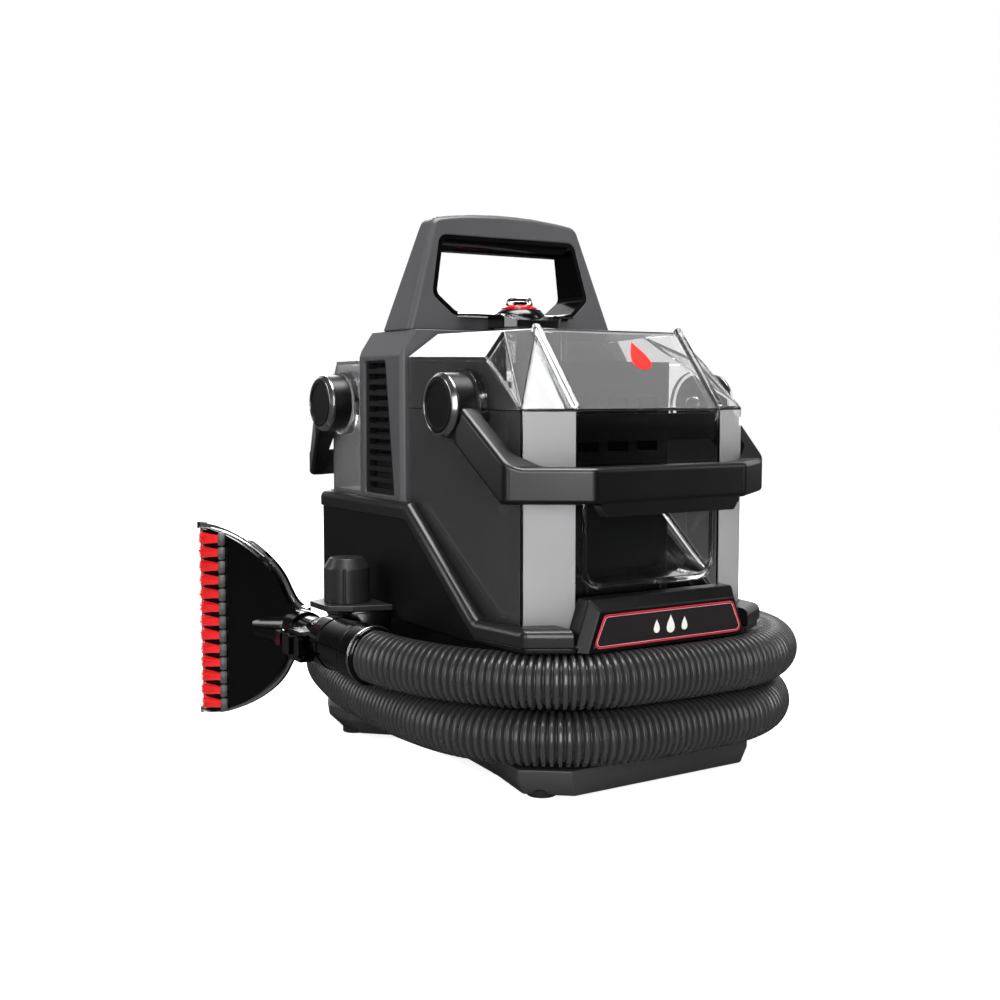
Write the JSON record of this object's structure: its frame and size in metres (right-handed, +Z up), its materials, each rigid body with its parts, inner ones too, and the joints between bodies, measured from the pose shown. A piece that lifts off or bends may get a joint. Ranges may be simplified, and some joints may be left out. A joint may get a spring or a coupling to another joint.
{
  "type": "spot extractor",
  "caption": "Portable carpet and upholstery spot cleaner with lift-off tanks on swing-up bails, a carry handle, and a corrugated suction hose wrapped round its waist to a bristled hand tool.",
  "frame": {"origin": "on the floor, under the middle of the machine without its hose and hand tool", "axes": "+Z up, -Y towards the front tank and name plate, X across, hose tool stowed on -X"},
  "size_m": [0.3542, 0.36, 0.37],
  "materials": {
    "grey_plastic": "satin moulded plastic",
    "black_gloss": "polished moulded plastic",
    "black_matte": "fine-textured moulded plastic",
    "plate_black": "polished plate",
    "red_print": "printed outline",
    "rubber": "matte rubber",
    "steel": "plated steel",
    "clear_plastic": "clear moulded plastic",
    "smoke_plastic": "smoked clear moulded plastic",
    "red_clear": "translucent red plastic",
    "white_plastic": "natural moulded plastic",
    "bright_trim": "bright plated ring",
    "board_green": "circuit board",
    "hose_black": "corrugated flexible plastic",
    "red_bristle": "nylon bristle"
  },
  "bodies": {
    "chassis": {"foot_plate": "grey_plastic", "rubber_feet": "rubber", "foot_screws": "steel", "waist_shell": "black_matte", "base_shell": "black_gloss", "base_rim": "black_gloss", "rear_cover": "black_matte", "name_plate": "plate_black", "plate_border": "red_print", "spine_housing": "grey_plastic", "vent_grille_left": "black_matte", "vent_grille_right": "black_matte", "carry_handle": "grey_plastic", "handle_liner": "black_gloss", "spine_nose": "grey_plastic", "top_deck": "black_matte", "power_switch": "black_matte", "valve_cup": "black_matte", "motor_housing": "black_matte", "motor_mounts": "rubber", "motor_stator": "steel", "pump_body": "white_plastic", "control_board": "board_green", "suction_duct": "black_matte", "solution_tube": "clear_plastic", "hose_elbow": "black_matte", "cord_gland": "rubber", "cord_hook_lower": "black_matte", "hose": "hose_black", "wand_cuff": "black_gloss", "wand_body": "black_gloss", "wand_bracket": "black_matte", "accessory_post": "black_matte"},
    "front_tank": {"front_tank_shell": "smoke_plastic", "tank_band": "black_gloss", "separator_tower": "black_matte", "tank_seal": "rubber"},
    "tank_lid": {"front_tank_lid": "clear_plastic", "lid_ribs": "clear_plastic"},
    "float": {"tank_float": "white_plastic"},
    "front_bail": {"front_bail": "black_gloss", "front_hub_rings": "bright_trim", "front_hub_caps": "black_gloss"},
    "rear_tank": {"rear_tank_shell": "smoke_plastic"},
    "rear_bail": {"rear_bail": "black_gloss", "rear_hub_rings": "bright_trim", "rear_hub_caps": "black_gloss"},
    "fill_cap": {"fill_cap": "black_matte"},
    "tank_valve": {"tank_valve": "white_plastic"},
    "power_button": {"power_button": "red_clear", "button_dome": "clear_plastic"},
    "cord_hook": {"cord_hook_upper": "black_matte"},
    "vacuum_rotor": {"motor_rotor": "white_plastic"},
    "pump_rotor": {"pump_rotor": "white_plastic"},
    "wand_trigger": {"wand_trigger": "black_gloss"},
    "tool_head": {"tool_body": "black_gloss", "tool_window": "clear_plastic", "brush_strip": "grey_plastic", "brush_tufts": "red_bristle"},
    "tool_latch": {"tool_latch": "black_gloss"}
  },
  "joints": [
    {"name": "front_tank_lift", "type": "slide", "parent": "chassis", "child": "front_tank", "axis": [0, 0, 1], "range_m": [0, 0.275]},
    {"name": "lid_lift", "type": "slide", "parent": "front_tank", "child": "tank_lid", "axis": [0, 0, 1], "range_m": [0, 0.14]},
    {"name": "float_rise", "type": "slide", "parent": "front_tank", "child": "float", "axis": [0, 0, 1], "range_m": [0, 0.11]},
    {"name": "front_bail_swing", "type": "hinge", "parent": "front_tank", "child": "front_bail", "pos_m": [0, -0.074, 0.235], "axis": [-1, 0, 0], "range_deg": [0, 125]},
    {"name": "rear_tank_lift", "type": "slide", "parent": "chassis", "child": "rear_tank", "axis": [0, 0, 1], "range_m": [0, 0.215]},
    {"name": "rear_bail_swing", "type": "hinge", "parent": "rear_tank", "child": "rear_bail", "pos_m": [0, 0.101, 0.235], "axis": [1, 0, 0], "range_deg": [0, 125]},
    {"name": "fill_cap_lift", "type": "slide", "parent": "rear_tank", "child": "fill_cap", "axis": [0, 0, 1], "range_m": [0, 0.12]},
    {"name": "tank_valve_slide", "type": "slide", "parent": "rear_tank", "child": "tank_valve", "axis": [0, 0, 1], "range_m": [0, 0.004], "stiffness_N_per_m": 150},
    {"name": "power_press", "type": "slide", "parent": "chassis", "child": "power_button", "axis": [0, 0, -1], "range_m": [0, 0.003], "stiffness_N_per_m": 700},
    {"name": "cord_hook_swivel", "type": "hinge", "parent": "chassis", "child": "cord_hook", "pos_m": [0, 0.15, 0.138], "axis": [0, 1, 0], "range_deg": [0, 180]},
    {"name": "vacuum_spin", "type": "hinge", "parent": "chassis", "child": "vacuum_rotor", "pos_m": [-0.022, 0.082, 0.09], "axis": [0, 0, 1], "continuous": true},
    {"name": "pump_spin", "type": "hinge", "parent": "chassis", "child": "pump_rotor", "pos_m": [0.044, 0.06, 0.045], "axis": [0, 0, 1], "continuous": true},
    {"name": "trigger_pull", "type": "hinge", "parent": "chassis", "child": "wand_trigger", "pos_m": [-0.16, 0.03, 0.072], "axis": [0, 0, -1], "range_deg": [0, 7], "stiffness_Nm_per_rad": 0.6},
    {"name": "tool_pull_off", "type": "slide", "parent": "chassis", "child": "tool_head", "axis": [-0.0366, 0.9993, 0], "range_m": [0, 0.12]},
    {"name": "tool_latch_press", "type": "slide", "parent": "tool_head", "child": "tool_latch", "axis": [1, 0, 0], "range_m": [0, 0.0015], "stiffness_N_per_m": 400}
  ]
}
